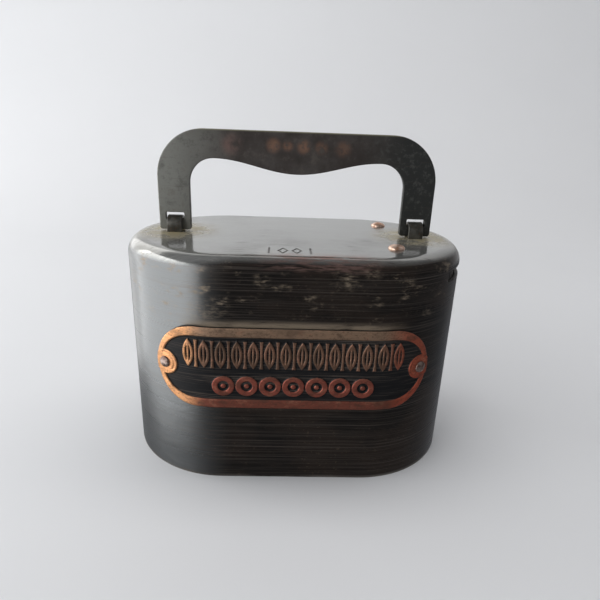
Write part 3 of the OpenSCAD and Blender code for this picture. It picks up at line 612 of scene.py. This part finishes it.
rivets_low, rivets_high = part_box("chute_rivets")
top_head_r = (rivets_high.x - rivets_low.x) / 2
top_head_h = rivets_high.z - top_z
top_shank_r = 1.2 * MM
top_tail_r = 2 * MM
top_tail_h = 0.6 * MM
top_grip = top_z - rivets_low.z - top_tail_h
top_profile = dome_profile(top_head_r, top_head_h, top_shank_r, top_grip, top_tail_r, top_tail_h)
parts = []
for side in (-1, 1):
    points, faces = turned(top_profile, 40)
    points = hammered(points, top_head_h, 2.2 * side, 0.16)
    seat = ((rivets_low.x + rivets_high.x) / 2, side * (rivets_high.y - top_head_r), top_z)
    parts.append((points + np.array(seat), faces))
top_rivets = mesh_piece("chute_top_rivets", *joined(parts), rivet_copper, "box", "copper_rivet")
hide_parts("chute_rivets")


# ------------------------------------------------------------------ handle
# The handle is cut from flat steel sheet and browned. The lower edge of its grip is one wave, its
# edges are filed round, and the eye in each foot turns in a loop on the top.

def arc(centre, radius, start, end, count):
    """Points on an arc, from the angle start to end in degrees."""
    angle = np.radians(np.linspace(start, end, count))
    return np.stack([centre[0] + radius * np.cos(angle), centre[1] + radius * np.sin(angle)], 1)


def rounded_box(low, high, radius):
    """Rectangle with round corners, counter-clockwise."""
    corners = []
    for x, z, start in ((high[0], low[1], -90), (high[0], high[1], 0), (low[0], high[1], 90),
                        (low[0], low[1], 180)):
        centre = (x - math.copysign(radius, x - (low[0] + high[0]) / 2),
                  z - math.copysign(radius, z - (low[1] + high[1]) / 2))
        corners.append(arc(centre, radius, start, start + 90, 5))
    return np.concatenate(corners)


def inset(loop, amount):
    """A closed outline moved to its left by amount: each point goes along the mean of the
    normals of its two edges."""
    ahead = np.roll(loop, -1, 0) - loop
    ahead /= np.linalg.norm(ahead, axis=1, keepdims=True)
    behind = np.roll(ahead, 1, 0)
    normal = np.stack([-(ahead + behind)[:, 1], (ahead + behind)[:, 0]], 1)
    normal /= np.linalg.norm(normal, axis=1, keepdims=True)
    square_on = np.maximum((normal * np.stack([-ahead[:, 1], ahead[:, 0]], 1)).sum(1), 0.5)
    return loop + normal * (amount / square_on)[:, None]


def cut_sheet(loops, half_t, edge):
    """Flat sheet cut to outlines, outer one first and holes clockwise, in (across, up, out). The
    edge's section, two quarter rounds, is carried along each outline; the faces are filled flat."""
    quarter = np.linspace(0, math.pi / 2, 5)
    section = [(edge * (1 - math.sin(a)), half_t - edge * (1 - math.cos(a))) for a in quarter]
    section = section + [(step, -out) for step, out in section[::-1]]
    points, faces, start, caps = [], [], 0, [[], []]
    for loop in loops:
        count = len(loop)
        rings = [np.column_stack([inset(loop, step), np.full(count, out)]) for step, out in section]
        points.append(np.concatenate(rings))
        number = start + np.arange(len(section) * count).reshape(len(section), count)
        following = np.roll(number, -1, 1)
        block = np.stack([number[1:], following[1:], following[:-1], number[:-1]], -1).reshape(-1, 4)
        faces += [list(map(int, face)) for face in block]
        caps[0].append(number[0])
        caps[1].append(number[-1])
        start += len(section) * count
    smooth = [True] * len(faces)
    points = np.concatenate(points)
    for rim, order in zip(caps, (1, -1)):
        rim_points = [[Vector(points[corner]) for corner in line] for line in rim]
        corner_of = np.concatenate(rim)
        for triangle in tessellate_polygon(rim_points):
            a, b, c = (points[corner_of[corner]] for corner in triangle)
            upwards = np.cross(b - a, c - a)[2] * order > 0
            triangle = triangle if upwards else triangle[::-1]
            faces.append([int(corner_of[corner]) for corner in triangle])
            smooth.append(False)
    return points, faces, smooth


handle_low, handle_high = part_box("handle")
pivot = Vector(frame["joints"][0]["pos_m"])
half_w = handle_high.x
leg_w = 9.9 * MM
foot = handle_low.z - pivot.z
grip_top = handle_high.z - pivot.z
outer_r = 14.5 * MM
inner_r = 7.5 * MM
opening_half = half_w - leg_w
opening_top = 20.6 * MM
grip_sag = 4.1 * MM
foot_r = 0.9 * MM
eye_w = 5.6 * MM
eye_h = 2.2 * MM


def handle_outlines():
    """Outer edge, counter-clockwise from the right foot, with the finger opening as part of it.
    The grip's lower edge is one wave: opening_top - sag (1 + cos(180 x / peak)) / 2."""
    peak = opening_half - inner_r
    x = np.linspace(peak, -peak, 61)
    wave = np.stack([x, opening_top - grip_sag * (1 + np.cos(math.pi * x / peak)) / 2], 1)
    corner_z = opening_top - inner_r
    low = foot + foot_r
    climb = np.linspace(0.12, 0.88, 6)[:, None]
    right_leg = np.array([[half_w, low]]) * (1 - climb) + np.array([[half_w, grip_top - outer_r]]) * climb
    inner_leg = np.array([[opening_half, corner_z]]) * (1 - climb) + np.array([[opening_half, low]]) * climb
    flip = np.array([-1, 1])
    outer = np.concatenate([
        arc((half_w - foot_r, low), foot_r, -90, 0, 6), right_leg,
        arc((half_w - outer_r, grip_top - outer_r), outer_r, 0, 90, 28),
        arc((-half_w + outer_r, grip_top - outer_r), outer_r, 90, 180, 28), right_leg[::-1] * flip,
        arc((-half_w + foot_r, low), foot_r, 180, 270, 6),
        arc((-opening_half - foot_r, low), foot_r, 270, 360, 6), inner_leg[::-1] * flip,
        arc((-peak, corner_z), inner_r, 180, 92, 16), wave[::-1],
        arc((peak, corner_z), inner_r, 88, 0, 16), inner_leg,
        arc((opening_half + foot_r, low), foot_r, 180, 270, 6)])
    loops = [outer]
    for side in (-1, 1):
        middle = side * (half_w - leg_w / 2)
        eye = rounded_box((middle - eye_w / 2, -foot), (middle + eye_w / 2, -foot + eye_h), 0.3 * MM)
        loops.append(eye[::-1])
    return loops


def browned_handle():
    """Finish of the handle: browned steel, olive-grey on the left as a painted sheen, darker on the right
    as painted shade and pitted there, with copper-brown finger spots in the middle and a greenish painted
    highlight along the top edge."""
    coat = Finish("browned_handle")
    across = coat.along("X")
    height = coat.along("Z")
    clouds = coat.noise((10, 10, 10), 5, 0.62)
    mottle = coat.noise((3.2, 3.2, 3.2), 5, 0.7)
    specks = coat.noise((0.8, 0.8, 0.8), 4, 0.65)
    lines = coat.noise((16, 16, 0.4), 4, 0.6)

    brown = (0.054, 0.043, 0.037)
    grey_brown = (0.082, 0.071, 0.063)
    left_sheen_olive = (0.22, 0.22, 0.195)
    mottle_dark = (0.032, 0.025, 0.02)
    mottle_pale = (0.14, 0.122, 0.1)
    right_shade_black = (0.032, 0.033, 0.03)
    line_brown = (0.1, 0.075, 0.058)
    colour = coat.over(brown, coat.step(clouds, 0.4, 0.66), grey_brown)
    # Painted sheen: olive-grey towards the left end
    colour = coat.over(colour, coat.step(across, -16, -42), left_sheen_olive)
    colour = coat.over(colour, coat.times(coat.step(mottle, 0.49, 0.68), 0.42), mottle_dark)
    colour = coat.over(colour, coat.times(coat.step(mottle, 0.47, 0.32), 0.42), mottle_pale)
    # Painted shade: darker towards the right end
    colour = coat.over(colour, coat.step(across, 16, 36), right_shade_black)
    colour = coat.over(colour, coat.times(coat.step(lines, 0.56, 0.74), 0.4), line_brown)

    # Finger spots, given as (x, size, share), and a paler patch to their left
    finger_copper = (0.27, 0.14, 0.085)
    patch_copper = (0.3, 0.16, 0.13)
    crest_mm = (pivot.z + grip_top) / MM
    face_mm = handle_low.y / MM
    spot_z = crest_mm - 4.3
    spots = ((-7.6, 2.0, 0.8), (-3.2, 1.5, 0.75), (1.6, 1.9, 0.85), (6.9, 1.8, 0.6), (13.6, 2.2, 0.5))
    for x, size, share in spots:
        spot = coat.near((x, face_mm, spot_z - 0.02 * x), 0.2 * size, 1.5 * size)
        spot = coat.times(spot, coat.step(mottle, 0.34, 0.56))
        colour = coat.over(colour, coat.times(spot, share), finger_copper)
    patch = coat.times(coat.near((-20, face_mm, spot_z), 0.8, 4.6), coat.step(clouds, 0.38, 0.62))
    colour = coat.over(colour, coat.times(patch, 0.45), patch_copper)

    pit_grey = (0.11, 0.112, 0.1)
    crest_highlight_green = (0.27, 0.26, 0.17)
    pits = coat.step(coat.noise((1.4, 1.4, 1.4), 4, 0.7), 0.5, 0.66)
    pits = coat.times(pits, coat.step(across, 14, 32))
    colour = coat.over(colour, coat.times(pits, 0.5), pit_grey)
    # Painted highlight: a greenish line along the top edge of the grip
    crest = coat.step(height, crest_mm - 0.55, crest_mm - 0.1)
    colour = coat.over(colour, coat.times(crest, 0.75), crest_highlight_green)

    rough = coat.math("MULTIPLY_ADD", clouds, 0.22, 0.3)
    normal = coat.bump(clouds, 0.1)
    normal = coat.bump(specks, 0.022, normal)
    normal = coat.bump(lines, 0.006, normal)
    coat.surface(Base_Color=colour, Metallic=0.4, Roughness=rough, Normal=normal, IOR=1.6)
    return coat


filed = 0.28 * MM
sheet, faces, smooth = cut_sheet(handle_outlines(), handle_high.y, filed)
sheet = np.stack([sheet[:, 0], -sheet[:, 2], sheet[:, 1] + pivot.z], 1)
handle = mesh_piece("carrying_handle", sheet, faces, browned_handle(), "carrying_handle",
                    "browned_steel", smooth)
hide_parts("handle")


# ------------------------------------------------------------------ handle loops
# Each loop is a strip of blackened steel bent over the bar below the eye of the handle. Its two
# ends go down through slots in the top and are bent outwards underneath.

def strap(name, line, width, thick, edge, finish, body, slot):
    """Rounded rectangle carried along a line that lies in a plane of constant x. The section is
    width wide across that plane and thick along the line's normal."""
    line = np.array(line)
    ahead = np.gradient(line, axis=0)
    ahead[:, 1:] /= np.linalg.norm(ahead[:, 1:], axis=1, keepdims=True)
    normal = np.stack([0 * ahead[:, 0], -ahead[:, 2], ahead[:, 1]], 1)
    section = rounded_box((-width / 2, -thick / 2), (width / 2, thick / 2), edge)
    count = len(section)
    rings = line[:, None, :] + section[None, :, 1:2] * normal[:, None, :]
    rings = rings + section[None, :, 0:1] * np.array([1.0, 0, 0])
    points = rings.reshape(-1, 3)
    number = np.arange(len(line) * count).reshape(len(line), count)
    turn = np.roll(number, -1, 1)
    block = np.stack([number[:-1], number[1:], turn[1:], turn[:-1]], -1).reshape(-1, 4)
    faces = [list(map(int, face)) for face in block]
    caps = [[int(corner) for corner in number[0]], [int(corner) for corner in number[-1][::-1]]]
    smooth = [True] * len(faces) + [False, False]
    return mesh_piece(name, points, faces + caps, finish, body, slot, smooth)


def loop_line(x, loop_low, loop_high, thick):
    """Middle line of a loop, in a plane of constant x: in from one bent end, round a bend, up, half
    round the bar's axis at a fixed radius, and the mirror image of this down and out again."""
    radius = loop_high.z - pivot.z - thick / 2
    foot_z = loop_low.z + thick / 2
    bend = 0.62 * MM
    end_y = loop_high.y
    half = [(end_y, foot_z), (end_y - 0.8 * MM, foot_z), (radius + bend + 0.3 * MM, foot_z)]
    half += [tuple(point) for point in arc((radius + bend, foot_z + bend), bend, 270, 180, 7)]
    half += [(radius, foot_z + bend + 0.4 * MM), (radius, pivot.z - 0.5 * MM)]
    half += [tuple(point) for point in arc((0, pivot.z), radius, 0, 90, 15)]
    half = np.array(half)
    whole = np.concatenate([half, half[-2::-1] * np.array([-1, 1])])
    return np.column_stack([np.full(len(whole), x), whole])


loop_steel = dulled_metal("blackened_loop_steel", (0.055, 0.053, 0.045), (0.12, 0.115, 0.1),
                          blotch=2.4, rough=0.36, metal=0.6, rust=0.4)
strap_t = 1 * MM
strap_edge = 0.22 * MM
for side, node in ((-1, "handle_loop_left"), (1, "handle_loop_right")):
    loop_low, loop_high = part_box(node)
    strap_w = loop_high.x - loop_low.x
    line = loop_line(side * loop_x, loop_low, loop_high, strap_t)
    loop = strap("bent_" + node, line, strap_w, strap_t, strap_edge, loop_steel, "box", "loop_steel")
    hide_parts(node)


# ------------------------------------------------------------------ coin trap
# Behind the slot a folded steel chute takes the coin to a flap, which hangs on a pin and is
# held shut by a wire spring. The chute is darkened all over; the rest is grey with thin rust.

inner_steel = dulled_metal("grey_inner_sheet", (0.12, 0.11, 0.095), (0.24, 0.225, 0.2),
                           blotch=5.0, rough=0.46, metal=0.7, rust=0.7)
flap_steel = dulled_metal("grey_flap_sheet", (0.16, 0.15, 0.13), (0.3, 0.285, 0.255),
                          blotch=4.0, rough=0.4, metal=0.75, rust=0.5)
pin_steel = dulled_metal("drawn_pin_steel", (0.3, 0.285, 0.26), (0.5, 0.485, 0.45),
                         blotch=1.5, rough=0.34, metal=0.9, rust=0.4)
spring_steel = dulled_metal("blued_spring_steel", (0.09, 0.1, 0.13), (0.22, 0.21, 0.2),
                            blotch=1.8, rough=0.3, metal=0.9, rust=0.3)
chute_steel = dulled_metal("darkened_chute_sheet", (0.022, 0.02, 0.018), (0.06, 0.052, 0.044),
                           blotch=5.0, rough=0.55, metal=0.4, rust=0.6)
dress(nodes["coin_chute"], chute_steel)
for node in ("base_rim", "bolt_keeper"):
    dress(nodes[node], inner_steel)
dress(nodes["coin_flap"], flap_steel)
for node in ("flap_pin", "hinge_pin", "bolt_guide_post", "key_post", "lock_rivets", "hinge_plate_rivets"):
    dress(nodes[node], pin_steel)
for node in ("flap_spring", "bolt_spring"):
    dress(nodes[node], spring_steel)


# ------------------------------------------------------------------ base and lock
# The base is closed by a fixed plate and a door, both blackened and scuffed from standing and
# sliding. The lock on the door is plain sheet, with a brass bolt, ward and keyhole plate.

def scuffed_base():
    """Finish of the door and the hinge plate: blackened sheet, scratched across and browned."""
    coat = Finish("scuffed_base_sheet")
    clouds = coat.noise((13, 13, 13), 5, 0.62)
    scuffs = coat.noise((14, 0.35, 8), 5, 0.65)
    cross = coat.noise((0.5, 9, 8), 4, 0.65)
    specks = coat.noise((0.9, 0.9, 0.9), 4, 0.65)
    black = (0.03, 0.027, 0.024)
    brown_black = (0.055, 0.047, 0.038)
    scuff_grey = (0.16, 0.15, 0.13)
    cross_grey = (0.12, 0.11, 0.095)
    rust_brown = (0.15, 0.07, 0.03)
    colour = coat.over(black, coat.step(clouds, 0.4, 0.65), brown_black)
    colour = coat.over(colour, coat.step(scuffs, 0.56, 0.74), scuff_grey)
    colour = coat.over(colour, coat.step(cross, 0.64, 0.78), cross_grey)
    rust = coat.times(coat.step(specks, 0.54, 0.7), coat.step(clouds, 0.42, 0.62))
    colour = coat.over(colour, coat.times(rust, 0.7), rust_brown)
    rough = coat.math("MULTIPLY_ADD", clouds, 0.25, 0.32)
    normal = coat.bump(coat.math("ADD", scuffs, cross), 0.012, coat.bump(clouds, 0.12))
    coat.surface(Base_Color=colour, Metallic=0.5, Roughness=rough, Normal=normal)
    return coat


base_coat = scuffed_base()
for node in ("base_door", "hinge_plate"):
    dress(nodes[node], base_coat)
lock_steel = dulled_metal("patinated_lock_sheet", (0.1, 0.09, 0.075), (0.25, 0.23, 0.2),
                          blotch=4.0, rough=0.42, metal=0.75, rust=0.6)
lock_brass = dulled_metal("dulled_lock_brass", (0.3, 0.2, 0.075), (0.55, 0.4, 0.17),
                          blotch=3.0, rough=0.34, metal=0.9)
for node in ("lock_case", "lock_cover"):
    dress(nodes[node], lock_steel)
for node in ("lock_bolt", "lock_ward", "keyhole_escutcheon", "escutcheon_pins"):
    dress(nodes[node], lock_brass)


# ------------------------------------------------------------------ studio
# A pale floor that sweeps up into a pale wall, one large soft window on the left, a card for the
# left edge, a light for the wall and a weak light over everything. The camera stands close and a
# little above the box.

paper = Finish("pale_paper")
paper_grey = (0.74, 0.74, 0.745)
paper_pale = (0.78, 0.78, 0.785)
tone = paper.noise((180, 180, 180), 3, 0.5)
paper.surface(Base_Color=paper.over(paper_grey, tone, paper_pale), Roughness=0.9)


def paper_sheet(name, line, half_w, columns):
    """A sheet of paper: a line of (y, z) points carried from half_w to -half_w along X."""
    across = np.linspace(half_w, -half_w, columns)
    line = np.array(line)
    points = np.stack(np.broadcast_arrays(across[None, :], line[:, :1], line[:, 1:]), -1).reshape(-1, 3)
    mesh = bpy.data.meshes.new(name)
    mesh.from_pydata(points, [], grid_faces(len(line), columns).tolist())
    mesh.polygons.foreach_set("use_smooth", np.ones(len(mesh.polygons), bool))
    mesh.materials.append(paper.material)
    sheet = bpy.data.objects.new(name, mesh)
    bpy.context.scene.collection.objects.link(sheet)
    return sheet


bend_y = 0.3
bend_r = 0.35
room_half = 2.2
floor = [(y, 0.0) for y in np.linspace(-1.6, bend_y, 20)]
bend = [tuple(point) for point in arc((bend_y, bend_r), bend_r, -90, 0, 40)]
wall = [(bend_y + bend_r, z) for z in np.linspace(bend_r, 2.4, 20)]
# The floor is kept out of reflections, as the box would otherwise mirror it all over its front
paper_sheet("studio_floor", floor, room_half, 41).visible_glossy = False
paper_sheet("studio_wall", bend + wall[1:], room_half, 41)


def lamp(name, place, aim, size, power, tint=(1, 1, 1)):
    """A soft oblong light at a place, turned to a point; it isn't seen itself."""
    light = bpy.data.lights.new(name, "AREA")
    light.shape = "RECTANGLE"
    light.size, light.size_y = size
    light.energy = power
    light.color = tint
    holder = bpy.data.objects.new(name, light)
    holder.location = place
    holder.rotation_mode = "QUATERNION"
    holder.rotation_quaternion = (Vector(aim) - Vector(place)).to_track_quat("-Z", "Y")
    holder.visible_camera = False
    bpy.context.scene.collection.objects.link(holder)
    return holder


box_middle = (0, 0, 0.05)
wall_middle = (0.2, 0.5, 0.1)
daylight = (0.97, 0.985, 1.0)
lamp("window", place=(-0.59, -0.18, 0.1), aim=box_middle, size=(1.2, 0.95), power=9.6, tint=daylight)
# A pale card behind the left end, seen only as a reflection, lightens the left edge of the box
edge_card = lamp("edge_card", place=(-0.5, 0.38, 0.15), aim=box_middle, size=(0.42, 0.95), power=1.5)
edge_card.visible_diffuse = False
# The wall's own light has no mirror image, or it would draw a white line along the shoulder
wall_wash = lamp("wall_wash", place=(0.2, 0.15, 1.2), aim=wall_middle, size=(1.8, 0.5), power=7.0)
wall_wash.visible_glossy = False

world = bpy.data.worlds.new("room")
bpy.context.scene.world = world
world.use_nodes = True
background = world.node_tree.nodes["Background"]
background.inputs["Color"].default_value = (0.9, 0.93, 1.0, 1)
background.inputs["Strength"].default_value = 0.2


def camera():
    """The camera looks past a point on the box's axis: turned a little, tilted down and leaning
    slightly to the right. seen_at is where that point lies in the view's own axes: right of the
    eye, ahead of it and above it."""
    turn, tilt, lean = 0.037, 0.354, 0.038
    point = Vector((0, 0, 38.18)) * MM
    seen_at = Vector((-2.507, 171.72, -8.369)) * MM
    turned_by = Matrix.Rotation(turn, 3, "Z")
    tilted_by = Matrix.Rotation(tilt, 3, "X")
    leaning = Matrix.Rotation(-lean, 3, "Y")
    rows = leaning.inverted() @ tilted_by @ turned_by
    right, ahead, up = rows[0].copy(), rows[1].copy(), rows[2].copy()
    data = bpy.data.cameras.new("view")
    data.lens = 29.9
    data.sensor_width = 36
    data.clip_start = 0.01
    eye = bpy.data.objects.new("view", data)
    facing = Matrix((right, up, -ahead)).transposed()
    eye.matrix_world = Matrix.Translation(point - rows.transposed() @ seen_at) @ facing.to_4x4()
    bpy.context.scene.collection.objects.link(eye)
    bpy.context.scene.camera = eye


camera()
bpy.context.scene.view_settings.view_transform = "Standard"
